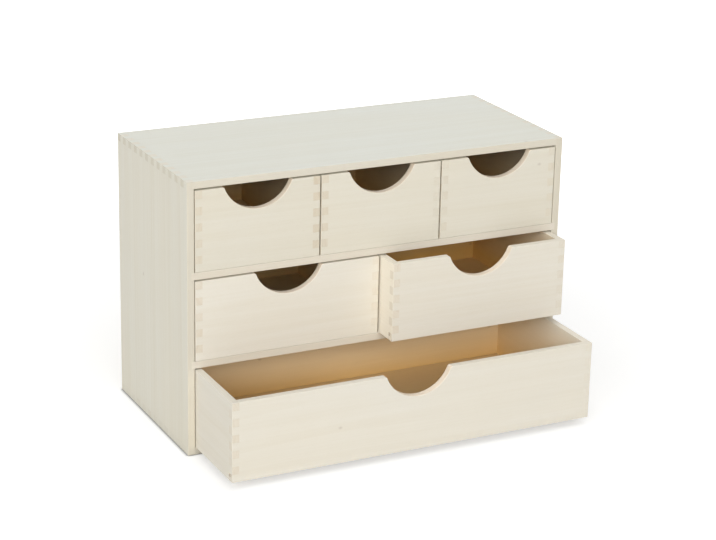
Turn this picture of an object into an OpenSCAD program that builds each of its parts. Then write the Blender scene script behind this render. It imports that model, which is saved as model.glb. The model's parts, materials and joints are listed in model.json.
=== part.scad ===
// Tabletop chest of finger-jointed wooden drawers, in three rows of three, two and one.
// Sizes are in millimetres. The origin is the middle of the cabinet's underside, +X is to the
// right as the drawers are faced, the drawers open along -Y, and +Z is up.

/* [Cabinet] */
// Width over the two sides
cabinet_w = 390; // [320:1:460]
// Depth from the front edges to the back
cabinet_d = 176; // [140:1:220]
// Thickness of the top, bottom, sides and shelves
board_t = 7; // [6:0.5:10]
// Clear height of each row
row_h = 79; // [65:1:100]
// Depth of the grooves in the sides that hold the shelves
housing_depth = 3; // [2:0.5:4]
// Thickness of the back panel
back_t = 3; // [2:0.5:5]
// Width of the outer ledge left around the back panel
rebate_w = 3.5; // [2:0.5:5]
// Finger places along each corner of the cabinet, those of both boards counted
cabinet_fingers = 24; // [12:2:32]

/* [Drawers] */
// Thickness of the front, back and sides of a drawer
wall_t = 7; // [6:0.5:9]
// Thickness of the panel that floors a drawer
floor_t = 3; // [2:0.5:4]
// Height of the floor panel's underside above the drawer's lower edge
floor_lift = 4; // [3:0.1:6]
// Depth of the grooves that hold the floor panel
groove_depth = 3.5; // [2:0.5:4.5]
// Play between the floor panel and its grooves
groove_play = 0.2; // [0.1:0.1:0.5]
// Finger places up each corner of a drawer, those of both boards counted
drawer_fingers = 10; // [6:2:14]
// Width of the finger pull where it meets the top edge
pull_w = 67; // [40:1:72]
// Depth of the finger pull below the top edge
pull_depth = 23.5; // [12:0.5:30]

/* [Running gaps] */
// Gap under a drawer
under_gap = 0.3; // [0.2:0.1:0.6]
// Gap above a drawer
over_gap = 1.7; // [1:0.1:3]
// Gap between a drawer and the cabinet's side
side_gap = 0.8; // [0.4:0.1:1.5]
// Gap between two drawers of a row
between_gap = 1.5; // [0.8:0.1:2.5]
// Gap between a closed drawer and the back panel
rear_gap = 1; // [0.5:0.5:5]

/* [How far the drawers stand open] */
// Middle right drawer
middle_right_open = 27; // [0:1:140]
// Bottom drawer
bottom_open = 85; // [0:1:140]

/* [Hidden] */
$fn = 96;
// How far a cutter reaches past a face that it opens
cut = 1;

cabinet_h = 4 * board_t + 3 * row_h;
inner_w = cabinet_w - 2 * board_t;
shelf_w = inner_w + 2 * housing_depth;
shelf_d = cabinet_d - back_t;
lower_shelf_z = board_t + row_h;
upper_shelf_z = lower_shelf_z + board_t + row_h;

drawer_h = row_h - under_gap - over_gap;
drawer_d = cabinet_d - back_t - rear_gap;
floor_inset = wall_t - groove_depth + groove_play;
pull_r = (pow(pull_w / 2, 2) + pow(pull_depth, 2)) / (2 * pull_depth);

// Name, row from the bottom, place from the left, drawers in its row, distance open
DRAWERS = [
    ["top_left_drawer", 2, 0, 3, 0],
    ["top_centre_drawer", 2, 1, 3, 0],
    ["top_right_drawer", 2, 2, 3, 0],
    ["middle_left_drawer", 1, 0, 2, 0],
    ["middle_right_drawer", 1, 1, 2, middle_right_open],
    ["bottom_drawer", 0, 0, 1, bottom_open]
];
CABINET_BOARDS = [
    "cabinet_top", "cabinet_bottom", "cabinet_left_side", "cabinet_right_side",
    "cabinet_back", "upper_shelf", "lower_shelf"
];
DRAWER_BOARDS = ["front", "back", "left_side", "right_side", "floor"];

function board_name(drawer, board) = str(drawer[0], "_", board);
function drawer_w(drawer) = (inner_w - 2 * side_gap - (drawer[3] - 1) * between_gap) / drawer[3];
function drawer_x(drawer) = (drawer[2] - (drawer[3] - 1) / 2) * (drawer_w(drawer) + between_gap);
function drawer_z(drawer) = board_t + drawer[1] * (row_h + board_t) + under_gap;

// Where a finger place starts and ends along its corner. The first and last reach past the edge.
function place_start(place, pitch) = place == 0 ? -cut : place * pitch;
function place_end(place, pitch, count) = (place + 1) * pitch + (place == count - 1 ? cut : 0);

// ---- Cabinet ----

// Cutters at every second finger place, from the front of the cabinet to its back
module depth_comb(first, size_x, size_z) {
    pitch = cabinet_d / cabinet_fingers;
    for (place = [first:2:cabinet_fingers - 1]) {
        start = place_start(place, pitch);
        end = place_end(place, pitch, cabinet_fingers);
        translate([0, start - cabinet_d / 2, 0])
            cube([size_x, end - start, size_z]);
    }
}

// The space that the back panel fills, cut out of the four outer boards
module back_rebate() {
    translate([rebate_w - cabinet_w / 2, cabinet_d / 2 - back_t, rebate_w])
        cube([cabinet_w - 2 * rebate_w, back_t + cut, cabinet_h - 2 * rebate_w]);
}

// A top or bottom board. It leaves the foremost finger place to the side boards.
module level_board(z) {
    difference() {
        translate([-cabinet_w / 2, -cabinet_d / 2, z])
            cube([cabinet_w, cabinet_d, board_t]);
        for (end = [0, 1])
            mirror([end, 0, 0])
                translate([-cabinet_w / 2 - cut, 0, z - cut])
                    depth_comb(0, board_t + cut, board_t + 2 * cut);
        back_rebate();
    }
}

module cabinet_top() {
    color("#e3e1d7") level_board(cabinet_h - board_t);
}

module cabinet_bottom() {
    color("#e0dac9") level_board(0);
}

// The left side as it stands. The right side is its mirror image.
module side_board() {
    difference() {
        translate([-cabinet_w / 2, -cabinet_d / 2, 0])
            cube([board_t, cabinet_d, cabinet_h]);
        for (z = [-cut, cabinet_h - board_t])
            translate([-cabinet_w / 2 - cut, 0, z])
                depth_comb(1, board_t + 2 * cut, board_t + cut);
        for (z = [lower_shelf_z, upper_shelf_z])
            translate([-shelf_w / 2, -cabinet_d / 2 - cut, z])
                cube([housing_depth + cut, shelf_d + cut, board_t]);
        back_rebate();
    }
}

module cabinet_left_side() {
    color("#d9d5c6") side_board();
}

module cabinet_right_side() {
    color("#d9d5c6") mirror([1, 0, 0]) side_board();
}

module cabinet_back() {
    color("#d8ccb0")
        translate([rebate_w - cabinet_w / 2, cabinet_d / 2 - back_t, rebate_w])
            cube([cabinet_w - 2 * rebate_w, back_t, cabinet_h - 2 * rebate_w]);
}

module shelf(z) {
    color("#e1dac8")
        translate([-shelf_w / 2, -cabinet_d / 2, z])
            cube([shelf_w, shelf_d, board_t]);
}

module upper_shelf() {
    shelf(upper_shelf_z);
}

module lower_shelf() {
    shelf(lower_shelf_z);
}

// ---- Drawers ----
// A drawer's boards are drawn about its own origin, the middle of its front's lower edge.

module place_drawer(drawer) {
    translate([drawer_x(drawer), -cabinet_d / 2 - drawer[4], drawer_z(drawer)])
        children();
}

// Cutters at every second finger place, from the lower edge of a drawer to its top edge
module height_comb(first, size_x, size_y) {
    pitch = drawer_h / drawer_fingers;
    for (place = [first:2:drawer_fingers - 1]) {
        start = place_start(place, pitch);
        end = place_end(place, pitch, drawer_fingers);
        translate([0, 0, start])
            cube([size_x, size_y, end - start]);
    }
}

// The front or back board, with the groove for the floor panel run out through its ends. It
// keeps the lowest finger place, and the side boards have the top one.
module cross_board(w) {
    difference() {
        translate([-w / 2, 0, 0])
            cube([w, wall_t, drawer_h]);
        for (end = [0, 1])
            mirror([end, 0, 0])
                translate([-w / 2 - cut, -cut, 0])
                    height_comb(1, wall_t + cut, wall_t + 2 * cut);
        translate([-w / 2 - cut, wall_t - groove_depth, floor_lift])
            cube([w + 2 * cut, groove_depth + cut, floor_t + groove_play]);
    }
}

// A round bite out of the middle of the front's top edge, for a finger to pull the drawer by
module finger_pull() {
    translate([0, -cut, drawer_h - pull_depth + pull_r])
        rotate([-90, 0, 0])
            cylinder(r = pull_r, h = wall_t + 2 * cut);
}

module drawer_front(drawer) {
    color("#e4dcc8")
        place_drawer(drawer)
            difference() {
                cross_board(drawer_w(drawer));
                finger_pull();
            }
}

module drawer_back(drawer) {
    color("#d9cba9")
        place_drawer(drawer)
            translate([0, drawer_d, 0])
                mirror([0, 1, 0])
                    cross_board(drawer_w(drawer));
}

module drawer_left_side(drawer) {
    left = -drawer_w(drawer) / 2;
    color("#dcd2b8")
        place_drawer(drawer)
            difference() {
                translate([left, 0, 0])
                    cube([wall_t, drawer_d, drawer_h]);
                for (y = [-cut, drawer_d - wall_t])
                    translate([left - cut, y, 0])
                        height_comb(0, wall_t + 2 * cut, wall_t + cut);
                translate([left + wall_t - groove_depth, -cut, floor_lift])
                    cube([groove_depth + cut, drawer_d + 2 * cut, floor_t + groove_play]);
            }
}

module drawer_right_side(drawer) {
    twin = [drawer[0], drawer[1], drawer[3] - 1 - drawer[2], drawer[3], drawer[4]];
    mirror([1, 0, 0]) drawer_left_side(twin);
}

module drawer_floor(drawer) {
    w = drawer_w(drawer) - 2 * floor_inset;
    color("#d6c7a3")
        place_drawer(drawer)
            translate([-w / 2, floor_inset, floor_lift])
                cube([w, drawer_d - 2 * floor_inset, floor_t]);
}

cabinet_top();
cabinet_bottom();
cabinet_left_side();
cabinet_right_side();
cabinet_back();
upper_shelf();
lower_shelf();
for (drawer = DRAWERS) {
    drawer_front(drawer);
    drawer_back(drawer);
    drawer_left_side(drawer);
    drawer_right_side(drawer);
    drawer_floor(drawer);
}
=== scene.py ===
"""Tabletop chest of small wooden drawers: its boards as they look, their finish, and the stage.

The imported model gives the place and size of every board. Each board is cut again here with its
joints and with eased edges, takes its own piece of grain, and goes where its node is.
"""

import json
import math
import random

import bmesh
import bpy
from bpy.props import FloatProperty, FloatVectorProperty, IntProperty, PointerProperty
from mathutils import Matrix, Vector

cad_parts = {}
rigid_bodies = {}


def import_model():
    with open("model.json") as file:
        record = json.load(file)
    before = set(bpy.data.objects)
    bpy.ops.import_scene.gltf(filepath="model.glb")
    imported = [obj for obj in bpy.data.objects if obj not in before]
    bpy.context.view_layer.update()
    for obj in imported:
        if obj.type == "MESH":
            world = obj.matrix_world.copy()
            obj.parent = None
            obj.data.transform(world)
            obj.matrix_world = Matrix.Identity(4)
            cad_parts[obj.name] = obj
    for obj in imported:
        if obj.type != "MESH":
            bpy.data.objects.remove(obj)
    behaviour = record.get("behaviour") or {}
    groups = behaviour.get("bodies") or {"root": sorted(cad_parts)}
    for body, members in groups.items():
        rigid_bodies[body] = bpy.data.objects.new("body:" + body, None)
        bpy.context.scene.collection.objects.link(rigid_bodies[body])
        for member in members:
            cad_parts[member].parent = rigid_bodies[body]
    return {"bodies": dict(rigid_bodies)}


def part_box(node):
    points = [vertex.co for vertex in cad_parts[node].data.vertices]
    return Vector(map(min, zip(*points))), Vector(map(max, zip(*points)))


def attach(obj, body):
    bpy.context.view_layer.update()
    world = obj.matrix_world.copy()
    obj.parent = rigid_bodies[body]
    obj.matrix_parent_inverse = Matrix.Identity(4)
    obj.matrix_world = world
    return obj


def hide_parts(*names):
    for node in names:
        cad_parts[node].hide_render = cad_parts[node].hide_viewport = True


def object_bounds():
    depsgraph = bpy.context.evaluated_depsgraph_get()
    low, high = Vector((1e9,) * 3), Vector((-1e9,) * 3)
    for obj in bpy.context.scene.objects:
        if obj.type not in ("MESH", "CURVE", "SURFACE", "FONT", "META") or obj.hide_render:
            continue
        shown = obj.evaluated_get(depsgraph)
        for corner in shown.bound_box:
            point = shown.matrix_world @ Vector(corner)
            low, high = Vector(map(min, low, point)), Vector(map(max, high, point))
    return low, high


bl_info = {
    "name": "Drawer Chest",
    "version": (1, 0, 0),
    "blender": (4, 5, 0),
    "location": "3D View > Sidebar > Drawer Chest",
    "description": "Cuts the boards of a small chest of drawers, with their joints, grain and a stage",
    "category": "Add Mesh",
}

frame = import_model()
PACKED_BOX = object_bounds()

CABINET = "cabinet"
DRAWERS = [body for body in frame["bodies"] if body != CABINET]
SHELVES = ("upper_shelf", "lower_shelf")
# The drawers of the two lower rows, which are given a paler colour than those of the top row
LOWER_DRAWERS = ("middle_left_drawer", "middle_right_drawer", "bottom_drawer")

X, Y, Z = Vector((1, 0, 0)), Vector((0, 1, 0)), Vector((0, 0, 1))
# A board's own axes: along its grain, across it, and from its outer face to its inner one
ALONG, ACROSS, INWARD = 0, 1, 2
# How each kind of board lies: first the way its joints are spaced, which is across the grain, and
# then the way from its outer face to its inner one. The grain runs at a right angle to both.
BOARD_LIES = {
    "cabinet_top": (Y, -Z),
    "cabinet_bottom": (Y, Z),
    "cabinet_left_side": (Y, X),
    "cabinet_right_side": (Y, -X),
    "cabinet_back": (Z, -Y),
    "shelf": (Y, Z),
    "front": (Z, Y),
    "back": (Z, -Y),
    "left_side": (Z, X),
    "right_side": (Z, -X),
    "floor": (Y, Z),
}

# How far a cutter reaches past a face that it opens
CUT_PAST = 0.001
# Two points this near are one point, and a vertex this near to a plane is on it
TOUCH = 0.000002
# Finger places are whole numbers, so two that are nearer than this are the same
SAME_PLACE = 0.5
# Straight steps round a finger pull's circle, round each of its corners and across an eased edge
PULL_SEGMENTS = 160
CORNER_SEGMENTS = 5
ARRIS_SEGMENTS = 3
# How far the pull's straight steps may lie from its circle
PULL_SAG = 0.0001
# The profile of an edge that is rounded to part of a circle
ROUND = 0.5
# Faces that turn less than this are one face, and edges that turn more than this stay sharp
FLAT_TURN = math.radians(0.5)
SHARP_TURN = math.radians(40)

# How much of a face's normal lies along an axis where the face is square to it, where it is quite
# flat, and where it belongs to the narrow edge of a cabinet board
SQUARE_ON = 0.9
QUITE_FLAT = 0.99
EDGE_ON = 0.6
# How much of it lies along the board where end grain starts to show, and where it shows in full
END_TURN = (0.5, 0.95)
# How deep inside the thin panels count as lying, which sets how much painted inside shade their inner
# faces take
PANEL_DEPTH = 0.03
# How far from a board's middle the heart of its tree may lie: along it, across it as a share of its
# width, and from where to where below or above it
HEART_ALONG = 1.0
HEART_ACROSS = 0.6
HEART_AWAY = (0.03, 0.09)
# How dark the end grain of these boards is, next to that of the others
END_TONES = {
    "cabinet_top": 1.5,
    "cabinet_bottom": 0.3,
    "cabinet_left_side": 0.25,
    "cabinet_right_side": 0.25,
    "top_left_drawer_right_side": 1.5,
    "top_centre_drawer_left_side": 1.2,
    "top_centre_drawer_right_side": 0.3,
    "top_right_drawer_left_side": 0.5,
    "top_right_drawer_right_side": 0.6,
    "middle_left_drawer_right_side": 0.5,
    "middle_right_drawer_front": 0.4,
    "middle_right_drawer_right_side": 0.4,
    "bottom_drawer_front": 0.5,
    "bottom_drawer_right_side": 0.2,
}
# How much deeper the inside of this drawer counts as lying, so that its inner faces take more painted
# inside shade
DEEPER_PAINTED_SHADE = {"middle_right_drawer": 0.02}
# Painted light: how many steps of tone paler the outer face of this board is painted, standing in for
# light that the front of the drawer beside it throws onto it
PAINTED_LIGHT_FACES = {"middle_right_drawer_left_side": 8.0}


# ---- What a user may change ----

def length(name, description, default, high=1.0):
    """A size in metres, as a property."""
    return FloatProperty(
        name=name, description=description, default=default, min=0.0, max=high,
        precision=5, subtype="DISTANCE", unit="LENGTH",
    )


def angle(name, description, degrees):
    """An angle, as a property."""
    return FloatProperty(
        name=name, description=description, default=math.radians(degrees),
        precision=4, subtype="ANGLE", unit="ROTATION",
    )


def power(name, description, default):
    """A lamp's power in watts, as a property."""
    return FloatProperty(
        name=name, description=description, default=default, min=0.0, max=500.0,
        subtype="POWER", unit="POWER",
    )


def share(name, description, default, high=1.0):
    """A plain amount, as a property."""
    return FloatProperty(
        name=name, description=description, default=default, min=0.0, max=high, subtype="FACTOR",
    )


def screen_colour(red, green, blue):
    """The colour that a screen shows for these values from 0 to 255, in linear light."""
    values = (value / 255 for value in (red, green, blue))
    linear = [v / 12.92 if v <= 0.04045 else ((v + 0.055) / 1.055) ** 2.4 for v in values]
    return (*linear, 1.0)


def colour(name, description, red, green, blue):
    """A colour, as a property."""
    return FloatVectorProperty(
        name=name, description=description, default=screen_colour(red, green, blue),
        size=4, min=0.0, max=1.0, subtype="COLOR",
    )


class DrawerChestJoinery(bpy.types.PropertyGroup):
    """How the boards are joined and eased."""

    cabinet_fingers: IntProperty(
        name="Cabinet Fingers", default=24, min=2, max=60,
        description="Finger places along each corner of the cabinet, those of both boards counted",
    )
    drawer_fingers: IntProperty(
        name="Drawer Fingers", default=10, min=2, max=30,
        description="Finger places up each corner of a drawer, those of both boards counted",
    )
    joint_play: length("Joint Line", "Width of the fine line that shows between two fingers", 0.0001)
    groove_play: length("Groove Play", "Play between a drawer's floor and its grooves", 0.0002)
    pull_width: length("Pull Width", "Width of the finger pull at the top edge", 0.067)
    pull_depth: length("Pull Depth", "Depth of the finger pull below the top edge", 0.0235)
    pull_rounding: length("Pull Corners", "Radius of the pull's two corners at the top edge", 0.002)
    arris_radius: length("Eased Edge", "Radius to which the outer edges are sanded", 0.0005)
    fine_ease: length("Fine Edge", "Radius of the shelves' and the back panel's edges", 0.0003)


class DrawerChestFinish(bpy.types.PropertyGroup):
    """The colours of the bare wood, with painted shade inside the chest and painted light on the pulls'
    cuts and the shelves' edges.
    """

    top_colour: colour("Top", "Colour of the cabinet's top", 225, 226, 217)
    side_colour: colour("Sides", "Colour of the cabinet's sides and bottom", 228, 225, 213)
    shelf_colour: colour("Shelves", "Colour of the shelves' faces", 229, 225, 212)
    edge_colour: colour("Edges", "Colour of the narrow edges of the cabinet's boards", 219, 213, 198)
    # Partly real and partly painted light: the shelves' edge tone, made paler than the cabinet's other
    # edges to stand in for light that the open drawers below keep from them
    shelf_edge_colour_and_light: colour("Shelf Edges", "Colour of the shelves' front edges", 227, 220, 206)
    drawer_colour: colour("Top Drawers", "Colour of the top drawers' boards", 226, 221, 207)
    lower_drawer_colour: colour("Lower Drawers", "Colour of the other drawers' boards", 233, 228, 216)
    # Partly real and partly painted light: the cut wood's pinkish tone, made paler than the fronts to
    # stand in for light on the pulls' cut faces
    pull_colour_and_light: colour("Pulls", "Colour of the wood where the finger pulls are cut", 243, 230, 213)
    panel_colour: colour("Panels", "Colour of the thin floor and back panels", 228, 214, 184)
    # Painted shade: a warmer, darker colour laid over inner faces, more of it the deeper they lie from
    # the rim, standing in for the shade and warm bounced light inside the chest
    painted_inside_shade: colour("Inside", "Colour that the wood has taken deep inside the chest", 236, 196, 120)
    painted_shade_reach: length("Inside Reach", "How far from the rim the inside takes its full tone", 0.08)
    grain_strength: share("Grain", "How clearly the lines of the grain show", 0.32)
    side_grain: share("Side Grain", "How clearly they show on the cabinet's sides", 0.4)
    end_strength: share("End Grain", "How much darker the end grain is", 0.28)
    ring_spacing: length("Ring Spacing", "Distance between two growth rings", 0.0034)


class DrawerChestStage(bpy.types.PropertyGroup):
    """The floor, the light and the camera."""

    floor_size: length("Floor", "Length of each side of the floor", 12.0, high=50.0)
    floor_colour: colour("Floor Colour", "Colour of the floor", 225, 225, 224)
    near_glow: share("Near Glow", "How much whiter the camera sees the floor beside the chest", 0.42)
    far_glow: share("Far Glow", "How much whiter the camera sees the floor further off", 0.8)
    near_reach: length("Near Reach", "How far from the chest's middle the near glow reaches", 0.25)
    far_reach: length("Far Reach", "How far from there the far glow starts", 1.0, high=50.0)
    # Painted shade: the floor is darkened near what stands on it by its ambient occlusion
    contact_reach: length("Contact Reach", "How near to what stands on it the floor darkens", 0.0035)
    contact_depth: share("Contact Depth", "How strongly it darkens there", 1.6, high=5.0)
    sky_strength: share("Sky", "Strength of the even light from all round", 0.32, high=2.0)
    key_power: power("Key Light", "Power of the soft light in front", 191.0)
    side_power: power("Side Light", "Power of the soft light on the left", 23.0)
    top_power: power("Top Light", "Power of the soft light overhead", 12.0)
    back_power: power("Back Light", "Power of the soft light behind", 22.0)
    lens: FloatProperty(
        name="Lens", description="Focal length on a frame 36 mm wide",
        default=106.823, min=10.0, max=500.0, subtype="DISTANCE_CAMERA", unit="CAMERA",
    )
    camera_place: FloatVectorProperty(
        name="Camera Place", description="Where the camera stands",
        default=(-0.8690, -1.7658, 0.8209), size=3, subtype="TRANSLATION", unit="LENGTH",
    )
    camera_azimuth: angle("Camera Azimuth", "How far it looks to the right of straight back", 26.7607)
    camera_elevation: angle("Camera Elevation", "How far the camera looks down", 19.3944)
    camera_roll: angle("Camera Roll", "How far the camera is turned about its own line of sight", 1.2899)


# ---- Objects and nodes ----

def add_object(name, data):
    """An object with this data, in the scene."""
    added = bpy.data.objects.new(name, data)
    bpy.context.scene.collection.objects.link(added)
    return added


def new_tree(name, kind, inputs, outputs):
    """An empty node tree with these inputs and outputs, each of its own kind of socket."""
    tree = bpy.data.node_groups.new(name, kind)
    for way, sockets in (("INPUT", inputs), ("OUTPUT", outputs)):
        for socket, socket_type in sockets.items():
            tree.interface.new_socket(name=socket, in_out=way, socket_type=socket_type)
    return tree


def cleared_tree(owner):
    """The node tree of a material or a world, without the nodes that it starts with."""
    owner.use_nodes = True
    owner.node_tree.nodes.clear()
    return owner.node_tree


def add_node(tree, kind, inputs=(), **settings):
    """Adds a node with its settings. Each input takes a value, or an output to be linked to."""
    node = tree.nodes.new(kind)
    for name, value in settings.items():
        setattr(node, name, value)
    for key, value in dict(inputs).items():
        if isinstance(value, bpy.types.NodeSocket):
            tree.links.new(value, node.inputs[key])
        else:
            node.inputs[key].default_value = value
    return node


def maths(tree, operation, *values):
    """The result of one step of arithmetic."""
    return add_node(tree, "ShaderNodeMath", enumerate(values), operation=operation).outputs[0]


def vector(tree, *parts):
    """A vector put together from its three parts."""
    return add_node(tree, "ShaderNodeCombineXYZ", enumerate(parts)).outputs[0]


# ---- Cutting the boards ----

BOARD_INPUTS = {
    "Length": "NodeSocketFloat",
    "Width": "NodeSocketFloat",
    "Thickness": "NodeSocketFloat",
    "Finger Places": "NodeSocketInt",
    "First Socket": "NodeSocketInt",
    "Socket Depth": "NodeSocketFloat",
    "Joint Line": "NodeSocketFloat",
    "Groove Lift": "NodeSocketFloat",
    "Groove Width": "NodeSocketFloat",
    "Groove Depth": "NodeSocketFloat",
    "Pull Radius": "NodeSocketFloat",
    "Pull Depth": "NodeSocketFloat",
    "Housings": "NodeSocketInt",
    "Housing Spacing": "NodeSocketFloat",
    "Housing Width": "NodeSocketFloat",
    "Housing Depth": "NodeSocketFloat",
    "Housing Run": "NodeSocketFloat",
    "Rebate Ledge": "NodeSocketFloat",
    "Rebate Depth": "NodeSocketFloat",
    "Material": "NodeSocketMaterial",
}


def shifted(tree, shape, *by):
    """The shape, moved by this much along each axis."""
    inputs = {"Geometry": shape, "Translation": vector(tree, *by)}
    return add_node(tree, "GeometryNodeTransform", inputs).outputs["Geometry"]


def block(tree, size, centre):
    """A block of this size about this centre."""
    cube = add_node(tree, "GeometryNodeMeshCube", {"Size": vector(tree, *size)})
    return shifted(tree, cube.outputs["Mesh"], *centre)


def row_of_blocks(tree, count, centre, size, stretch=(1.0, 1.0, 1.0)):
    """Blocks at each of a row of points, whose centre and stretch may depend on their index."""
    points = add_node(tree, "GeometryNodePoints", {"Count": count, "Position": vector(tree, *centre)})
    cube = add_node(tree, "GeometryNodeMeshCube", {"Size": vector(tree, *size)})
    inputs = {
        "Points": points.outputs[0],
        "Instance": cube.outputs["Mesh"],
        "Scale": vector(tree, *stretch),
    }
    placed = add_node(tree, "GeometryNodeInstanceOnPoints", inputs)
    return add_node(tree, "GeometryNodeRealizeInstances", {"Geometry": placed.outputs[0]}).outputs[0]


def cut_away(tree, board, cutter, wanted):
    """The board without what the cutter takes, where the wanted number is above zero."""
    inputs = {"Mesh 1": board, "Mesh 2": cutter}
    cut = add_node(tree, "GeometryNodeMeshBoolean", inputs, operation="DIFFERENCE", solver="MANIFOLD")
    needed = add_node(tree, "FunctionNodeCompare", {"A": wanted, "B": 0.0}, operation="GREATER_THAN")
    inputs = {"Switch": needed.outputs[0], "False": board, "True": cut.outputs["Mesh"]}
    return add_node(tree, "GeometryNodeSwitch", inputs, input_type="GEOMETRY").outputs[0]


def sunk(tree, size, depth):
    """Where the middle of a cutter lies that is as big as the board and takes this depth of it."""
    half = maths(tree, "DIVIDE", size, 2.0)
    return maths(tree, "ADD", maths(tree, "SUBTRACT", half, depth), half)


def finger_sockets(tree, sizes, deep):
    """Cutters for the sockets at both ends. Those at the board's edges reach past them."""
    index = add_node(tree, "GeometryNodeInputIndex").outputs[0]
    # Every second finger place is a socket
    place = maths(tree, "MULTIPLY_ADD", index, 2.0, sizes["First Socket"])
    pitch = maths(tree, "DIVIDE", sizes["Width"], sizes["Finger Places"])
    last_place = maths(tree, "SUBTRACT", sizes["Finger Places"], 1.0)
    half_line = maths(tree, "DIVIDE", sizes["Joint Line"], 2.0)
    ends = []
    for edge_place, next_place, way in ((0.0, 0.0, -1.0), (last_place, 1.0, 1.0)):
        at_edge = maths(tree, "COMPARE", place, edge_place, SAME_PLACE)
        past = maths(tree, "MULTIPLY_ADD", at_edge, CUT_PAST, half_line)
        plain = maths(tree, "MULTIPLY", maths(tree, "ADD", place, next_place), pitch)
        ends.append(maths(tree, "MULTIPLY_ADD", past, way, plain))
    start, end = ends
    middle = maths(tree, "DIVIDE", maths(tree, "ADD", start, end), 2.0)
    across = maths(tree, "SUBTRACT", middle, maths(tree, "DIVIDE", sizes["Width"], 2.0))
    reach = maths(tree, "ADD", sizes["Socket Depth"], CUT_PAST)
    apart = maths(tree, "SUBTRACT", maths(tree, "ADD", sizes["Length"], CUT_PAST), sizes["Socket Depth"])
    count = maths(tree, "FLOOR", maths(tree, "DIVIDE", sizes["Finger Places"], 2.0))
    one_end = row_of_blocks(
        tree, count,
        centre=(maths(tree, "DIVIDE", apart, 2.0), across, 0.0),
        size=(reach, 1.0, deep),
        stretch=(1.0, maths(tree, "SUBTRACT", end, start), 1.0),
    )
    other_end = shifted(tree, one_end, maths(tree, "MULTIPLY", apart, -1.0), 0.0, 0.0)
    both = add_node(tree, "GeometryNodeJoinGeometry")
    tree.links.new(one_end, both.inputs[0])
    tree.links.new(other_end, both.inputs[0])
    return both.outputs[0]


def floor_groove(tree, sizes):
    """The cutter for the groove near a drawer board's lower edge, which holds the floor."""
    length_past = maths(tree, "ADD", sizes["Length"], 2 * CUT_PAST)
    middle = maths(tree, "MULTIPLY_ADD", sizes["Groove Width"], 0.5, sizes["Groove Lift"])
    across = maths(tree, "SUBTRACT", middle, maths(tree, "DIVIDE", sizes["Width"], 2.0))
    return block(
        tree,
        size=(length_past, sizes["Groove Width"], sizes["Thickness"]),
        centre=(0.0, across, sunk(tree, sizes["Thickness"], sizes["Groove Depth"])),
    )


def finger_pull(tree, sizes, deep):
    """The cutter for the finger pull, a disc whose lowest part reaches below the top edge."""
    inputs = {"Vertices": PULL_SEGMENTS, "Radius": sizes["Pull Radius"], "Depth": deep}
    disc = add_node(tree, "GeometryNodeMeshCylinder", inputs).outputs[0]
    above = maths(tree, "SUBTRACT", sizes["Pull Radius"], sizes["Pull Depth"])
    across = maths(tree, "ADD", above, maths(tree, "DIVIDE", sizes["Width"], 2.0))
    return shifted(tree, disc, 0.0, across, 0.0)


def shelf_housings(tree, sizes):
    """Cutters for the housings that the shelves stand in, open at the board's front edge."""
    index = add_node(tree, "GeometryNodeInputIndex").outputs[0]
    halfway = maths(tree, "DIVIDE", maths(tree, "SUBTRACT", sizes["Housings"], 1.0), 2.0)
    along = maths(tree, "MULTIPLY", maths(tree, "SUBTRACT", index, halfway), sizes["Housing Spacing"])
    across = maths(tree, "DIVIDE", maths(tree, "SUBTRACT", sizes["Housing Run"], sizes["Width"]), 2.0)
    run_past = maths(tree, "ADD", sizes["Housing Run"], 2 * CUT_PAST)
    return row_of_blocks(
        tree, sizes["Housings"],
        centre=(along, across, sunk(tree, sizes["Thickness"], sizes["Housing Depth"])),
        size=(sizes["Housing Width"], run_past, sizes["Thickness"]),
    )


def back_rebate(tree, sizes):
    """The cutter for the rebate that holds the back panel. A ledge stays outside it all round."""
    ledges = maths(tree, "MULTIPLY", sizes["Rebate Ledge"], 2.0)
    return block(
        tree,
        size=(maths(tree, "SUBTRACT", sizes["Length"], ledges), sizes["Width"], sizes["Thickness"]),
        centre=(0.0, sunk(tree, sizes["Width"], sizes["Rebate Depth"]), sizes["Rebate Ledge"]),
    )


def board_tree():
    """The tree that cuts a board: its length lies along X, its joints along Y, its inner face up."""
    tree = new_tree("jointed_board", "GeometryNodeTree", BOARD_INPUTS, {"Board": "NodeSocketGeometry"})
    sizes = add_node(tree, "NodeGroupInput").outputs
    through = maths(tree, "ADD", sizes["Thickness"], 2 * CUT_PAST)
    board = block(tree, (sizes["Length"], sizes["Width"], sizes["Thickness"]), (0.0, 0.0, 0.0))
    for cutter, wanted in (
        (finger_sockets(tree, sizes, through), "Finger Places"),
        (floor_groove(tree, sizes), "Groove Depth"),
        (finger_pull(tree, sizes, through), "Pull Depth"),
        (shelf_housings(tree, sizes), "Housing Depth"),
        (back_rebate(tree, sizes), "Rebate Depth"),
    ):
        board = cut_away(tree, board, cutter, sizes[wanted])
    whole = add_node(tree, "GeometryNodeRealizeInstances", {"Geometry": board}).outputs[0]
    inputs = {"Geometry": whole, "Material": sizes["Material"]}
    painted = add_node(tree, "GeometryNodeSetMaterial", inputs).outputs[0]
    add_node(tree, "NodeGroupOutput", {"Board": painted})
    return tree


def run_tree(name, tree, values):
    """The mesh that the tree makes with these values for its inputs."""
    mesh = bpy.data.meshes.new(name)
    blank = add_object(name + "_blank", mesh)
    modifier = blank.modifiers.new("cut", "NODES")
    modifier.node_group = tree
    identifiers = {
        socket.name: socket.identifier
        for socket in tree.interface.items_tree if socket.in_out == "INPUT"
    }
    for socket, value in values.items():
        modifier[identifiers[socket]] = value
    graph = bpy.context.evaluated_depsgraph_get()
    made = bpy.data.meshes.new_from_object(blank.evaluated_get(graph))
    bpy.data.objects.remove(blank)
    bpy.data.meshes.remove(mesh)
    made.name = name
    return made


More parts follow.
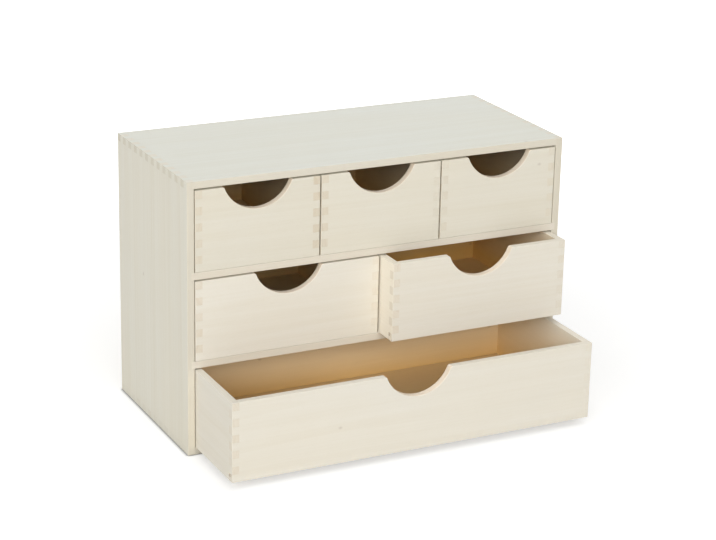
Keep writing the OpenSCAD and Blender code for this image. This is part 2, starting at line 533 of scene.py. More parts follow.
class Board:
    """One board of the chest, as it lies before it is put in its place."""

    def __init__(self, node, kind, body):
        self.node = node
        self.kind = kind
        self.body = body
        low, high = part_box(node)
        across, inward = BOARD_LIES[kind]
        axes = (across.cross(inward), across, inward)
        self.size = Vector([abs(axis.dot(high - low)) for axis in axes])
        self.place = Matrix.Translation((low + high) / 2) @ Matrix(axes).transposed().to_4x4()
        # How much of each end is inside a joint, whether the ends show outside and how dark their
        # grain is, and the radius of the pull and of the eased edges
        self.joint_depth = 0.0
        self.ends_show = False
        self.end_tone = END_TONES.get(node, 1.0)
        self.pull_radius = 0.0
        self.ease = 0.0
        self.cuts = {}

    def pull_centre(self, joinery):
        """The middle of the finger pull's circle."""
        return Vector((0.0, self.size.y / 2 - joinery.pull_depth + self.pull_radius))

    def from_pull(self, place, joinery):
        """How far a place is from the pull's circle. Places near its rounded corners count as on it."""
        corner = Vector((joinery.pull_width / 2, self.size.y / 2))
        if (Vector((abs(place.x), place.y)) - corner).length < joinery.pull_rounding:
            return 0.0
        return (place.xy - self.pull_centre(joinery)).length - self.pull_radius


def pull_circle_radius(joinery):
    """The radius of the circle that is as wide as the pull at the top edge and as deep as it."""
    half = joinery.pull_width / 2
    return (half ** 2 + joinery.pull_depth ** 2) / (2 * joinery.pull_depth)


def add_fingers(board, joinery, places, first_socket):
    """Joins both ends of a board to boards of its own thickness."""
    board.joint_depth = board.size.z
    board.ends_show = True
    board.ease = joinery.arris_radius
    board.cuts.update({
        "Finger Places": places,
        "First Socket": first_socket,
        "Socket Depth": board.joint_depth,
        "Joint Line": joinery.joint_play,
    })


# ---- Easing the edges ----

def round_edges(mesh, edges, offset, segments):
    """Rounds these edges, over this much of the faces beside them."""
    bmesh.ops.bevel(
        mesh, geom=edges, offset=offset, offset_type="OFFSET", segments=segments,
        profile=ROUND, affect="EDGES", clamp_overlap=False,
    )


def eased_edges(mesh, board, joinery):
    """The edges that are sanded once the joints are glued. Joint lines and hidden ends stay sharp."""
    half = board.size / 2
    between_joints = half.x - board.joint_depth + TOUCH

    def on(edge, axis, place):
        return all(abs(vertex.co[axis] - place) < TOUCH for vertex in edge.verts)

    def at(edge, axis, *signs):
        return any(on(edge, axis, sign * half[axis]) for sign in signs)

    def on_pull(edge):
        return board.pull_radius > 0 and all(
            abs(board.from_pull(vertex.co, joinery)) < PULL_SAG for vertex in edge.verts)

    def is_eased(edge):
        if board.body != CABINET and at(edge, ACROSS, -1):
            return False
        outside = at(edge, ALONG, -1, 1) + at(edge, ACROSS, -1, 1) + at(edge, INWARD, -1)
        if board.ends_show and outside >= 2:
            return True
        if on_pull(edge):
            return at(edge, INWARD, -1, 1)
        between = all(abs(vertex.co.x) < between_joints for vertex in edge.verts)
        return between and at(edge, ACROSS, -1, 1) and at(edge, INWARD, -1, 1)

    return [edge for edge in mesh.edges if is_eased(edge)]


def round_pull_corners(mesh, board, joinery):
    """Rounds the finger pull's two corners at the top edge."""
    top = board.size.y / 2
    turn = math.acos(1 - joinery.pull_depth / board.pull_radius)
    run = joinery.pull_rounding * math.tan(turn / 2)
    through = [
        edge for edge in mesh.edges
        if all(abs(board.from_pull(vertex.co, joinery)) < TOUCH for vertex in edge.verts)
        and abs(edge.verts[0].co.z - edge.verts[1].co.z) > board.size.z / 2
    ]
    corners = [edge for edge in through if abs(edge.verts[0].co.y - top) < TOUCH]
    # The circle's first steps from a corner become one, long enough for the rounding to end on it
    beside = [
        edge for edge in through if edge not in corners
        and joinery.pull_width / 2 - abs(edge.verts[0].co.x) < run
    ]
    bmesh.ops.dissolve_edges(mesh, edges=beside, use_verts=True)
    round_edges(mesh, corners, run, CORNER_SEGMENTS)


def ease_board(made, board, joinery):
    """Rounds the board's outer edges and leaves a closed mesh of clean faces."""
    mesh = bmesh.new()
    mesh.from_mesh(made)
    bmesh.ops.remove_doubles(mesh, verts=mesh.verts, dist=TOUCH)
    bmesh.ops.dissolve_limit(mesh, angle_limit=FLAT_TURN, verts=mesh.verts, edges=mesh.edges)
    # Long edges are split where the joints end, so that each part is eased or left by itself
    for sign in (-1, 1):
        place = Vector((sign * (board.size.x / 2 - board.joint_depth), 0, 0))
        whole = [*mesh.verts, *mesh.edges, *mesh.faces]
        bmesh.ops.bisect_plane(mesh, geom=whole, dist=TOUCH, plane_co=place, plane_no=X)
    if board.pull_radius > 0:
        round_pull_corners(mesh, board, joinery)
    if board.ease > 0:
        round_edges(mesh, eased_edges(mesh, board, joinery), board.ease, ARRIS_SEGMENTS)
    if not all(edge.is_manifold for edge in mesh.edges):
        raise RuntimeError(f"{board.node}: the board isn't closed")
    mesh.to_mesh(made)
    mesh.free()
    # The block that the board was cut from left an empty material slot, ahead of the wood's
    made.materials.pop(index=0)


def store(mesh, name, kind, domain, values):
    """Keeps one value for each point or face, where the materials can read it."""
    attribute = mesh.attributes.new(name, kind, domain)
    attribute.data.foreach_set("vector" if kind == "FLOAT_VECTOR" else "value", values)


def smooth_step(value, low, high):
    """0 up to low, 1 from high on, and a smooth way from one to the other."""
    part = min(max((value - low) / (high - low), 0.0), 1.0)
    return part * part * (3 - 2 * part)


def mark_grain(mesh, board, joinery):
    """Gives the board its own place in the tree and its tone, with painted light on some outer faces,
    and says which faces are end grain or inside and how deep inside each point lies, for the painted
    inside shade.
    """
    draw = random.Random(board.node)
    heart = Vector((
        draw.uniform(-HEART_ALONG, HEART_ALONG),
        draw.uniform(-HEART_ACROSS, HEART_ACROSS) * board.size.y,
        draw.choice((-1, 1)) * draw.uniform(*HEART_AWAY),
    ))
    tone = draw.uniform(-1.0, 1.0)
    painted_light = PAINTED_LIGHT_FACES.get(board.node, 0.0)

    def mark_faces(name, mark):
        store(mesh, name, "FLOAT", "FACE", [float(mark(face)) for face in mesh.polygons])

    # Narrow edges take the edge colour, which on the pulls' cuts and the shelves' edges holds painted
    # light
    def is_narrow_edge(face):
        if board.body == CABINET:
            return abs(face.normal.y) > EDGE_ON
        cut_through = board.pull_radius > 0 and abs(face.normal.z) < SQUARE_ON
        return cut_through and board.from_pull(face.center, joinery) < board.ease / 2

    def is_inner_face(face):
        # A shelf is inside on both faces
        turn = abs(face.normal.z) if board.kind == "shelf" else face.normal.z
        return turn > SQUARE_ON

    places = [part for vertex in mesh.vertices for part in vertex.co + heart]
    store(mesh, "grain_at", "FLOAT_VECTOR", "POINT", places)
    # A face's tone is its board's random tone, plus painted light on the outer faces of some boards
    mark_faces("tone", lambda face: tone + painted_light * (face.normal.z < -SQUARE_ON))
    mark_faces("end_grain", lambda face: board.end_tone * smooth_step(abs(face.normal.x), *END_TURN))
    mark_faces("broad_face", lambda face: abs(face.normal.z) > QUITE_FLAT)
    mark_faces("narrow_edge", is_narrow_edge)
    mark_faces("inner_face", is_inner_face)
    # Cabinet boards are open at their front edge, and the upright boards of a drawer at the top
    rim, way = (-board.size.y / 2, 1) if board.body == CABINET else (board.size.y / 2, -1)
    # How deep each point lies from the rim, which sets how much painted inside shade its inner faces
    # take
    depths = [(vertex.co.y - rim) * way for vertex in mesh.vertices]
    if board.kind in ("cabinet_back", "floor"):
        depths = [PANEL_DEPTH] * len(depths)
    depths = [depth + DEEPER_PAINTED_SHADE.get(board.body, 0.0) for depth in depths]
    store(mesh, "from_rim", "FLOAT", "POINT", depths)


def make_board(board, material, joinery):
    """Cuts, eases and marks a board, and puts it in its node's place."""
    tree = bpy.data.node_groups.get("jointed_board") or board_tree()
    values = dict(zip(("Length", "Width", "Thickness"), board.size))
    made = run_tree(board.node + "_board", tree, {**values, **board.cuts, "Material": material})
    ease_board(made, board, joinery)
    mark_grain(made, board, joinery)
    made.transform(board.place)
    made.polygons.foreach_set("use_smooth", [True] * len(made.polygons))
    made.set_sharp_from_angle(angle=SHARP_TURN)
    piece = add_object(made.name, made)
    normals = piece.modifiers.new("flat_faces", "WEIGHTED_NORMAL")
    normals.keep_sharp = True
    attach(piece, board.body)
    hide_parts(board.node)
    return piece


# ---- Wood ----

# The marks of the grain: how wide they are across it and how long along it, in metres, and from
# where to where in their noise they show
BANDS = {"width": 0.012, "run": 0.5, "low": 0.35, "high": 0.65}
STREAKS = {"width": 0.0028, "run": 0.16, "low": 0.35, "high": 0.65}
FIBRES = {"width": 0.0005, "run": 0.018, "low": 0.3, "high": 0.7}
CLOUDS = {"width": 0.05, "run": 0.12, "low": 0.3, "high": 0.7}
FLECKS = {"width": 0.0004, "run": 0.004, "low": 0.62, "high": 0.72, "detail": 1.0, "smooth": True}
PORES = {"width": 0.0006, "run": 0.004, "low": 0.35, "high": 0.65}

# How a growth ring wanders along a board, how far, and how far slow and fast years shift it
RING_WANDER = {"width": 0.05, "run": 0.45, "detail": 1.0}
WANDER_REACH = 0.02
YEAR_SHIFT = 0.02
# How many spells of slow or fast growth a metre of wood holds
SPELLS = 90.0
# At which part of a year's growth its wood starts to darken, and at which it is darkest
LATE_WOOD = (0.35, 0.92)
# How clear the faintest ring is, and how much clearer the clearest
FAINT_RING = 0.25
RING_RANGE = 1.1

# How many places for a knot a metre holds, what share of them has none, and how wide a knot is as a
# share of its length
KNOT_PLACES = 16.0
CLEAR_PLACES = 0.82
KNOT_WIDTH = 0.7
# How far from its middle a knot starts to fade and where it ends, as shares of its place
KNOT_FADE = (0.004, 0.034)

# What the wood's colour is multiplied by in the lines of its grain, in its clouds, on end grain and
# in the pores of that, as a screen shows these values, and the colour of a knot
LINE_TINT = (242, 237, 226)
CLOUD_TINT = (255, 252, 246)
END_TINT = (243, 230, 211)
PORE_TINT = (232, 216, 197)
KNOT_COLOUR = (120, 82, 52)
# How much of its tint each kind of mark lays on a face
CLOUD_SHARE = 0.5
BAND_SHARE = 0.45
STREAK_SHARE = 0.35
RING_SHARE = 0.3
FIBRE_SHARE = 0.2
FLECK_SHARE = 0.25
KNOT_SHARE = 0.2
# And on end grain
END_RING_SHARE = 0.4
PORE_SHARE = 0.5
# How much brighter each step of tone makes the wood
TONE_STEP = 0.012

# How rough a sanded face is, and how much rougher its fibres and end grain are
ROUGHNESS = 0.55
FIBRE_ROUGHNESS = 0.12
END_ROUGHNESS = 0.1
# How high the fibres and the pores of end grain stand and how low the flecks lie, as shares of the
# relief, then how deep the relief is and how strongly it shows
FIBRE_RISE = 0.5
PORE_RISE = 0.6
FLECK_DROP = -0.6
RELIEF = 0.0002
RELIEF_STRENGTH = 0.25
# How strongly the wood mirrors
SPECULAR = 0.35

# The inside colour and its reach lay painted shade deep inside the chest; the edge colour holds painted
# light on the pulls' cuts and the shelves' edges
WOOD_INPUTS = {
    "Face Colour": "NodeSocketColor",
    "Grain": "NodeSocketFloat",
    "End Grain": "NodeSocketFloat",
    "Ring Spacing": "NodeSocketFloat",
    "Edge Colour": "NodeSocketColor",
    "Inside Colour": "NodeSocketColor",
    "Inside Reach": "NodeSocketFloat",
}
WOOD_OUTPUTS = {
    "Colour": "NodeSocketColor",
    "Roughness": "NodeSocketFloat",
    "Height": "NodeSocketFloat",
}


def grain_noise(tree, grain_at, width, run, detail=2.0):
    """Noise whose marks are about this wide across the grain and this long along it."""
    stretch = {0: grain_at, 1: (width / run, 1.0, 1.0)}
    stretched = add_node(tree, "ShaderNodeVectorMath", stretch, operation="MULTIPLY").outputs[0]
    inputs = {"Vector": stretched, "Scale": 1 / width, "Detail": detail}
    return add_node(tree, "ShaderNodeTexNoise", inputs).outputs[0]


def scaled(tree, plain, by):
    """The colour, made this many times as bright."""
    return add_node(tree, "ShaderNodeVectorMath", {0: plain, "Scale": by}, operation="SCALE").outputs[0]


def fit(tree, value, low, high, to_low=0.0, to_high=1.0, smooth=False):
    """The value, with the stretch from low to high carried over to another."""
    inputs = {"Value": value, "From Min": low, "From Max": high, "To Min": to_low, "To Max": to_high}
    kind = "SMOOTHSTEP" if smooth else "LINEAR"
    return add_node(tree, "ShaderNodeMapRange", inputs, interpolation_type=kind).outputs[0]


def grain_marks(tree, grain_at, low, high, smooth=False, **noise):
    """Marks of the grain, which go from none to full as their noise goes from low to high."""
    return fit(tree, grain_noise(tree, grain_at, **noise), low, high, smooth=smooth)


def mix_colours(tree, factor, first, second, blend_type="MIX"):
    """The second colour laid over the first by this factor."""
    # This node keeps a set of sockets for each kind of data, and these are the ones for colours
    inputs = {0: factor, 6: first, 7: second}
    return add_node(tree, "ShaderNodeMix", inputs, data_type="RGBA", blend_type=blend_type).outputs[2]


def tinted(tree, plain, tint):
    """The colour, multiplied by a tint."""
    return mix_colours(tree, 1.0, plain, screen_colour(*tint), "MULTIPLY")


def read_mark(tree, name, output="Fac"):
    """What the mesh keeps under this name."""
    return add_node(tree, "ShaderNodeAttribute", attribute_name=name).outputs[output]


def growth_rings(tree, grain_at, spacing):
    """A darker line at the end of each year's growth, round a heart that lies along the board."""
    parts = add_node(tree, "ShaderNodeSeparateXYZ", {0: grain_at}).outputs
    wander = grain_noise(tree, grain_at, **RING_WANDER)
    flat = vector(tree, parts[1], parts[2], 0.0)
    from_heart = add_node(tree, "ShaderNodeVectorMath", {0: flat}, operation="LENGTH").outputs["Value"]
    radius = maths(tree, "MULTIPLY_ADD", wander, WANDER_REACH, from_heart)
    # Slow and fast years: the rings lie closer in some places than in others
    uneven = {"W": radius, "Scale": SPELLS, "Detail": 1.0}
    pace = add_node(tree, "ShaderNodeTexNoise", uneven, noise_dimensions="1D").outputs[0]
    years = maths(tree, "DIVIDE", maths(tree, "MULTIPLY_ADD", pace, YEAR_SHIFT, radius), spacing)
    lot = {"W": maths(tree, "FLOOR", years)}
    strength = add_node(tree, "ShaderNodeTexWhiteNoise", lot, noise_dimensions="1D").outputs["Value"]
    clearness = maths(tree, "MULTIPLY_ADD", strength, RING_RANGE, FAINT_RING)
    part = maths(tree, "FRACT", years)
    starts, darkest = LATE_WOOD
    rise = fit(tree, part, starts, darkest, smooth=True)
    fall = fit(tree, part, darkest, 1.0, 1.0, 0.0, smooth=True)
    return maths(tree, "MULTIPLY", maths(tree, "MULTIPLY", rise, fall), clearness)


def pin_knots(tree, grain_at):
    """Rare small knots that go right through a board."""
    parts = add_node(tree, "ShaderNodeSeparateXYZ", {0: grain_at}).outputs
    flat = vector(tree, maths(tree, "MULTIPLY", parts[0], KNOT_WIDTH), parts[1], 0.0)
    inputs = {"Vector": flat, "Scale": KNOT_PLACES}
    cells = add_node(tree, "ShaderNodeTexVoronoi", inputs, voronoi_dimensions="2D").outputs
    lot = add_node(tree, "ShaderNodeSeparateColor", {0: cells["Color"]}).outputs[0]
    chosen = maths(tree, "GREATER_THAN", lot, CLEAR_PLACES)
    near = fit(tree, cells["Distance"], *KNOT_FADE, 1.0, 0.0, smooth=True)
    knots = maths(tree, "MULTIPLY", chosen, near)
    return maths(tree, "MULTIPLY", knots, read_mark(tree, "broad_face"))


def plain_face(tree, given):
    """The colour of a face without its grain. Narrow edges have their own colour, which on the pulls'
    cuts and the shelves' edges holds painted light, and deep inner faces take painted shade.
    """
    plain = mix_colours(tree, read_mark(tree, "narrow_edge"), given["Face Colour"], given["Edge Colour"])
    # Painted shade: inner faces take the inside shade colour, more of it the deeper they lie
    deep = fit(tree, read_mark(tree, "from_rim"), 0.0, given["Inside Reach"])
    inside = maths(tree, "MULTIPLY", deep, read_mark(tree, "inner_face"))
    return mix_colours(tree, inside, plain, given["Inside Colour"])


def grained_face(tree, given, grain_at, rings, fibres, flecks):
    """The colour of a face with its clouds, its lines, its flecks and its knots."""
    plain = plain_face(tree, given)
    darker = tinted(tree, plain, LINE_TINT)
    clouds = maths(tree, "MULTIPLY", grain_marks(tree, grain_at, **CLOUDS), CLOUD_SHARE)
    face = mix_colours(tree, clouds, plain, tinted(tree, plain, CLOUD_TINT))
    lines = 0.0
    for marks, weight in (
        (grain_marks(tree, grain_at, **BANDS), BAND_SHARE),
        (grain_marks(tree, grain_at, **STREAKS), STREAK_SHARE),
        (rings, RING_SHARE),
        (fibres, FIBRE_SHARE),
    ):
        lines = maths(tree, "MULTIPLY_ADD", marks, weight, lines)
    face = mix_colours(tree, maths(tree, "MULTIPLY", lines, given["Grain"]), face, darker)
    face = mix_colours(tree, maths(tree, "MULTIPLY", flecks, FLECK_SHARE), face, darker)
    knots = maths(tree, "MULTIPLY", pin_knots(tree, grain_at), KNOT_SHARE)
    return mix_colours(tree, knots, face, screen_colour(*KNOT_COLOUR))


def cut_ends(tree, given, rings, pores):
    """The colour of end grain, with its rings and pores."""
    pale = tinted(tree, given["Face Colour"], END_TINT)
    marks = maths(tree, "MULTIPLY", pores, PORE_SHARE)
    marks = maths(tree, "MULTIPLY_ADD", rings, END_RING_SHARE, marks)
    return mix_colours(tree, marks, pale, tinted(tree, pale, PORE_TINT))


def wood_group():
    """Bare pale wood, as a group that is fed its colours and gives colour, roughness and height."""
    found = bpy.data.node_groups.get("pale_wood")
    if found:
        return found
    tree = new_tree("pale_wood", "ShaderNodeTree", WOOD_INPUTS, WOOD_OUTPUTS)
    given = add_node(tree, "NodeGroupInput").outputs
    grain_at = read_mark(tree, "grain_at", "Vector")
    end_grain = read_mark(tree, "end_grain")
    rings = growth_rings(tree, grain_at, given["Ring Spacing"])
    fibres = grain_marks(tree, grain_at, **FIBRES)
    flecks = grain_marks(tree, grain_at, **FLECKS)
    pores = grain_marks(tree, grain_at, **PORES)

    face = grained_face(tree, given, grain_at, rings, fibres, flecks)
    ends = cut_ends(tree, given, rings, pores)
    wood = mix_colours(tree, maths(tree, "MULTIPLY", end_grain, given["End Grain"]), face, ends)
    # The tone brightens the wood, both its random tone and the painted light on some outer faces
    bright = maths(tree, "MULTIPLY_ADD", read_mark(tree, "tone"), TONE_STEP, 1.0)
    wood = scaled(tree, wood, bright)

    rough = maths(tree, "MULTIPLY_ADD", fibres, FIBRE_ROUGHNESS, ROUGHNESS)
    rough = maths(tree, "MULTIPLY_ADD", end_grain, END_ROUGHNESS, rough)
    height = maths(tree, "MULTIPLY_ADD", flecks, FLECK_DROP, maths(tree, "MULTIPLY", fibres, FIBRE_RISE))
    height = maths(tree, "MULTIPLY_ADD", maths(tree, "MULTIPLY", pores, end_grain), PORE_RISE, height)
    add_node(tree, "NodeGroupOutput", {"Colour": wood, "Roughness": rough, "Height": height})
    return tree


def wood_material(name, face_colour, edge_colour, grain, finish):
    """Bare sanded wood with faces and edges of these colours."""
    material = bpy.data.materials.get(name)
    if material:
        return material
    material = bpy.data.materials.new(name)
    tree = cleared_tree(material)
    inputs = {
        "Face Colour": tuple(face_colour),
        "Grain": grain,
        "End Grain": finish.end_strength,
        "Ring Spacing": finish.ring_spacing,
        "Edge Colour": tuple(edge_colour),
        "Inside Colour": tuple(finish.painted_inside_shade),
        "Inside Reach": finish.painted_shade_reach,
    }
    wood = add_node(tree, "ShaderNodeGroup", inputs, node_tree=wood_group()).outputs
    inputs = {"Strength": RELIEF_STRENGTH, "Distance": RELIEF, "Height": wood["Height"]}
    relief = add_node(tree, "ShaderNodeBump", inputs).outputs[0]
    inputs = {
        "Base Color": wood["Colour"],
        "Roughness": wood["Roughness"],
        "Specular IOR Level": SPECULAR,
        "Normal": relief,
    }
    shader = add_node(tree, "ShaderNodeBsdfPrincipled", inputs)
    add_node(tree, "ShaderNodeOutputMaterial", {"Surface": shader.outputs[0]})
    return material


def panel_material(finish):
    """The wood of the thin panels, whose edges are as their faces."""
    return wood_material(
        "bare_panel_wood", finish.panel_colour, finish.panel_colour, finish.grain_strength, finish)


# ---- The pieces ----

class DRAWERCHEST_OT_cabinet_boards(bpy.types.Operator):
    """Makes the four outer boards of the cabinet, with their finger joints, housings and rebate"""

    bl_idname = "drawer_chest.cabinet_boards"
    bl_label = "Cabinet Boards"
    bl_options = {"UNDO"}

    def execute(self, context):
        joinery = context.scene.drawer_chest_joinery
        finish = context.scene.drawer_chest_finish
        edge = finish.edge_colour
        top = wood_material("bare_top_wood", finish.top_colour, edge, finish.grain_strength, finish)
        side = wood_material("bare_side_wood", finish.side_colour, edge, finish.side_grain, finish)
        cabinet_low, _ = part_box("cabinet_bottom")
        back_low, back_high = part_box("cabinet_back")
        rebate = {"Rebate Ledge": back_low.x - cabinet_low.x, "Rebate Depth": back_high.y - back_low.y}
        upper_low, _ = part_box("upper_shelf")
        lower_low, lower_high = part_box("lower_shelf")
        for node, first_socket, material in (
            ("cabinet_top", 0, top),
            ("cabinet_bottom", 0, side),
            ("cabinet_left_side", 1, side),
            ("cabinet_right_side", 1, side),
        ):
            board = Board(node, node, CABINET)
            add_fingers(board, joinery, joinery.cabinet_fingers, first_socket)
            board.cuts.update(rebate)
            if node.endswith("_side"):
                board.cuts.update({
                    "Housings": len(SHELVES),
                    "Housing Spacing": upper_low.z - lower_low.z,
                    "Housing Width": lower_high.z - lower_low.z,
                    "Housing Depth": cabinet_low.x + board.size.z - lower_low.x,
                    "Housing Run": lower_high.y - lower_low.y,
                })
            make_board(board, material, joinery)
        return {"FINISHED"}


class DRAWERCHEST_OT_shelves(bpy.types.Operator):
    """Makes the two shelves that the upper rows of drawers run on"""

    bl_idname = "drawer_chest.shelves"
    bl_label = "Shelves"
    bl_options = {"UNDO"}

    def execute(self, context):
        joinery = context.scene.drawer_chest_joinery
        finish = context.scene.drawer_chest_finish
        # The shelves' edges take a colour that holds painted light
        colours = (finish.shelf_colour, finish.shelf_edge_colour_and_light)
        material = wood_material("bare_shelf_wood", *colours, finish.grain_strength, finish)
        for node in SHELVES:
            board = Board(node, "shelf", CABINET)
            board.ease = joinery.fine_ease
            make_board(board, material, joinery)
        return {"FINISHED"}


class DRAWERCHEST_OT_back_panel(bpy.types.Operator):
    """Makes the thin panel that closes the back of the cabinet"""

    bl_idname = "drawer_chest.back_panel"
    bl_label = "Back Panel"
    bl_options = {"UNDO"}

    def execute(self, context):
        joinery = context.scene.drawer_chest_joinery
        finish = context.scene.drawer_chest_finish
        board = Board("cabinet_back", "cabinet_back", CABINET)
        board.ends_show = True
        board.ease = joinery.fine_ease
        make_board(board, panel_material(finish), joinery)
        return {"FINISHED"}


class DRAWERCHEST_OT_drawer_boxes(bpy.types.Operator):
    """Makes the front, back and sides of every drawer, with their finger joints and finger pulls"""

    bl_idname = "drawer_chest.drawer_boxes"
    bl_label = "Drawer Boxes"
    bl_options = {"UNDO"}

    def execute(self, context):
        joinery = context.scene.drawer_chest_joinery
        finish = context.scene.drawer_chest_finish
        # The pulls' cut faces take the pull colour, which holds painted light
        cut, grain = finish.pull_colour_and_light, finish.grain_strength
        top = wood_material("bare_drawer_wood", finish.drawer_colour, cut, grain, finish)
        lower = wood_material("bare_lower_drawer_wood", finish.lower_drawer_colour, cut, grain, finish)
        for drawer in DRAWERS:
            material = lower if drawer in LOWER_DRAWERS else top
            front_low, front_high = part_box(drawer + "_front")
            floor_low, floor_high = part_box(drawer + "_floor")
            inset = floor_low.y - front_low.y - joinery.groove_play
            groove = {
                "Groove Lift": floor_low.z - front_low.z,
                "Groove Width": floor_high.z - floor_low.z + joinery.groove_play,
                "Groove Depth": front_high.y - front_low.y - inset,
            }
            for kind, first_socket in (("front", 1), ("back", 1), ("left_side", 0), ("right_side", 0)):
                board = Board(f"{drawer}_{kind}", kind, drawer)
                add_fingers(board, joinery, joinery.drawer_fingers, first_socket)
                board.cuts.update(groove)
                if kind == "front":
                    radius = pull_circle_radius(joinery)
                    board.pull_radius = radius
                    board.cuts.update({"Pull Radius": radius, "Pull Depth": joinery.pull_depth})
                make_board(board, material, joinery)
        return {"FINISHED"}


class DRAWERCHEST_OT_drawer_floors(bpy.types.Operator):
    """Makes the thin panel that floors each drawer"""

    bl_idname = "drawer_chest.drawer_floors"
    bl_label = "Drawer Floors"
    bl_options = {"UNDO"}

    def execute(self, context):
        joinery = context.scene.drawer_chest_joinery
        material = panel_material(context.scene.drawer_chest_finish)
        for drawer in DRAWERS:
            board = Board(drawer + "_floor", "floor", drawer)
            make_board(board, material, joinery)
        return {"FINISHED"}


# ---- The stage ----

WHITE = (1.0, 1.0, 1.0, 1.0)
# Width of the camera's frame, in millimetres
FRAME_WIDTH = 36.0
# Where each soft light stands, seen from the chest: how far round to the left of straight in front
# and how high, in degrees, and how far off. Then its width and height.
SOFT_LIGHTS = {
    "key": {"heading": 22, "height": 22, "distance": 6.0, "size": (6.0, 1.6)},
    "side": {"heading": 65, "height": 20, "distance": 3.0, "size": (1.8, 1.8)},
    "top": {"heading": 0, "height": 75, "distance": 2.4, "size": (1.8, 1.8)},
    "back": {"heading": 205, "height": 25, "distance": 3.0, "size": (2.4, 1.2)},
}


def seen_directly(tree):
    """1 for rays from the camera, or by way of a mirror or glass, and 0 for the light of the scene."""
    path = add_node(tree, "ShaderNodeLightPath").outputs
    mirrored = maths(tree, "MAXIMUM", path["Is Glossy Ray"], path["Is Transmission Ray"])
    return maths(tree, "MAXIMUM", path["Is Camera Ray"], mirrored)


def make_floor(stage):
    """A plain pale floor that keeps the chest's shadow, with painted shade where it meets what stands on
    it.
    """
    material = bpy.data.materials.new("floor_white")
    tree = cleared_tree(material)
    # Painted shade: near what stands on it, the floor's colour and its glow are darkened by its ambient
    # occlusion, as a contact shadow
    free = add_node(tree, "ShaderNodeAmbientOcclusion", {"Distance": stage.contact_reach}).outputs["AO"]
    free = maths(tree, "POWER", free, stage.contact_depth)
    pale = scaled(tree, tuple(stage.floor_colour[:3]), free)
    matt = add_node(tree, "ShaderNodeBsdfDiffuse", {"Color": pale})
    place = add_node(tree, "ShaderNodeTexCoord").outputs["Object"]
    away = add_node(tree, "ShaderNodeVectorMath", {0: place}, operation="LENGTH").outputs["Value"]
    reach = (stage.near_reach, stage.far_reach)
    amount = fit(tree, away, *reach, stage.near_glow, stage.far_glow, smooth=True)
    amount = maths(tree, "MULTIPLY", maths(tree, "MULTIPLY", amount, free), seen_directly(tree))
    glow = add_node(tree, "ShaderNodeEmission", {"Strength": amount})
    both = add_node(tree, "ShaderNodeAddShader", {0: matt.outputs[0], 1: glow.outputs[0]})
    add_node(tree, "ShaderNodeOutputMaterial", {"Surface": both.outputs[0]})
    half = stage.floor_size / 2
    mesh = bpy.data.meshes.new("floor")
    corners = [(-half, -half, 0.0), (half, -half, 0.0), (half, half, 0.0), (-half, half, 0.0)]
    mesh.from_pydata(corners, [], [(0, 1, 2, 3)])
    mesh.materials.append(material)
    floor = add_object("floor", mesh)


def make_sky(stage):
    """Even light from all round, before a white background."""
    world = bpy.data.worlds.new("studio")
    tree = cleared_tree(world)
    inputs = {"Color": WHITE, "Strength": stage.sky_strength}
    light = add_node(tree, "ShaderNodeBackground", inputs).outputs[0]
    white = add_node(tree, "ShaderNodeBackground", {"Color": WHITE, "Strength": 1.0}).outputs[0]
    either = add_node(tree, "ShaderNodeMixShader", {0: seen_directly(tree), 1: light, 2: white})
    add_node(tree, "ShaderNodeOutputWorld", {"Surface": either.outputs[0]})
    bpy.context.scene.world = world


def soft_light(name, watts, heading, height, distance, size):
    """A soft light of this power, turned to the chest from where it stands."""
    lamp = bpy.data.lights.new(name, "AREA")
    lamp.shape = "RECTANGLE"
    lamp.size, lamp.size_y = size
    lamp.energy = watts
    across, up = math.radians(heading), math.radians(height)
    way = Vector((-math.sin(across) * math.cos(up), -math.cos(across) * math.cos(up), math.sin(up)))
    light = add_object(name, lamp)
    light.location = (PACKED_BOX[0] + PACKED_BOX[1]) / 2 + way * distance
    light.rotation_euler = way.to_track_quat("Z", "Y").to_euler()


def make_camera(stage):
    """The camera, by its place and the way it looks."""
    camera = bpy.data.cameras.new("camera")
    camera.sensor_width = FRAME_WIDTH
    camera.lens = stage.lens
    heading = Matrix.Rotation(-stage.camera_azimuth, 4, "Z")
    tilt = Matrix.Rotation(math.pi / 2 - stage.camera_elevation, 4, "X")
    roll = Matrix.Rotation(stage.camera_roll, 4, "Z")
    holder = add_object("camera", camera)
    holder.matrix_world = Matrix.Translation(stage.camera_place) @ heading @ tilt @ roll
    bpy.context.scene.camera = holder


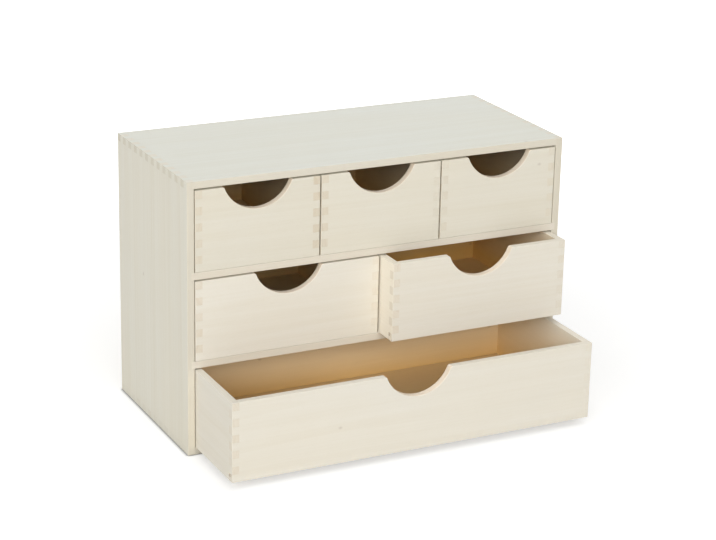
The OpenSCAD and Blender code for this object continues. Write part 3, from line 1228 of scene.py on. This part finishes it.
class DRAWERCHEST_OT_stage(bpy.types.Operator):
    """Makes the floor, the soft studio light and the camera"""

    bl_idname = "drawer_chest.stage"
    bl_label = "Stage"
    bl_options = {"UNDO"}

    def execute(self, context):
        stage = context.scene.drawer_chest_stage
        make_floor(stage)
        make_sky(stage)
        for name, light in SOFT_LIGHTS.items():
            soft_light(name + "_light", getattr(stage, name + "_power"), **light)
        make_camera(stage)
        context.scene.view_settings.view_transform = "Standard"
        return {"FINISHED"}


class VIEW3D_PT_drawer_chest(bpy.types.Panel):
    """Lists the pieces of the chest, with their sizes and colours"""

    bl_label = "Drawer Chest"
    bl_space_type = "VIEW_3D"
    bl_region_type = "UI"
    bl_category = "Drawer Chest"

    def draw(self, context):
        layout = self.layout
        layout.use_property_split = True
        for operator in OPERATORS:
            layout.operator(operator.bl_idname)
        for group_name in PROPERTY_GROUPS:
            group = getattr(context.scene, group_name)
            column = layout.column()
            for name in group.__annotations__:
                column.prop(group, name)


PROPERTY_GROUPS = {
    "drawer_chest_joinery": DrawerChestJoinery,
    "drawer_chest_finish": DrawerChestFinish,
    "drawer_chest_stage": DrawerChestStage,
}
OPERATORS = (
    DRAWERCHEST_OT_stage,
    DRAWERCHEST_OT_cabinet_boards,
    DRAWERCHEST_OT_shelves,
    DRAWERCHEST_OT_back_panel,
    DRAWERCHEST_OT_drawer_boxes,
    DRAWERCHEST_OT_drawer_floors,
)


def register():
    """Adds the classes, and a group of each kind of setting to every scene."""
    for group in PROPERTY_GROUPS.values():
        bpy.utils.register_class(group)
    for name, group in PROPERTY_GROUPS.items():
        setattr(bpy.types.Scene, name, PointerProperty(type=group))
    for operator in OPERATORS:
        bpy.utils.register_class(operator)
    bpy.utils.register_class(VIEW3D_PT_drawer_chest)


def unregister():
    """Takes them away again."""
    bpy.utils.unregister_class(VIEW3D_PT_drawer_chest)
    for operator in reversed(OPERATORS):
        bpy.utils.unregister_class(operator)
    for name, group in PROPERTY_GROUPS.items():
        delattr(bpy.types.Scene, name)
        bpy.utils.unregister_class(group)


def main():
    """Makes the stage and every piece."""
    register()
    bpy.ops.drawer_chest.stage()
    bpy.ops.drawer_chest.cabinet_boards()
    bpy.ops.drawer_chest.shelves()
    bpy.ops.drawer_chest.back_panel()
    bpy.ops.drawer_chest.drawer_boxes()
    bpy.ops.drawer_chest.drawer_floors()


if __name__ == "__main__":
    main()
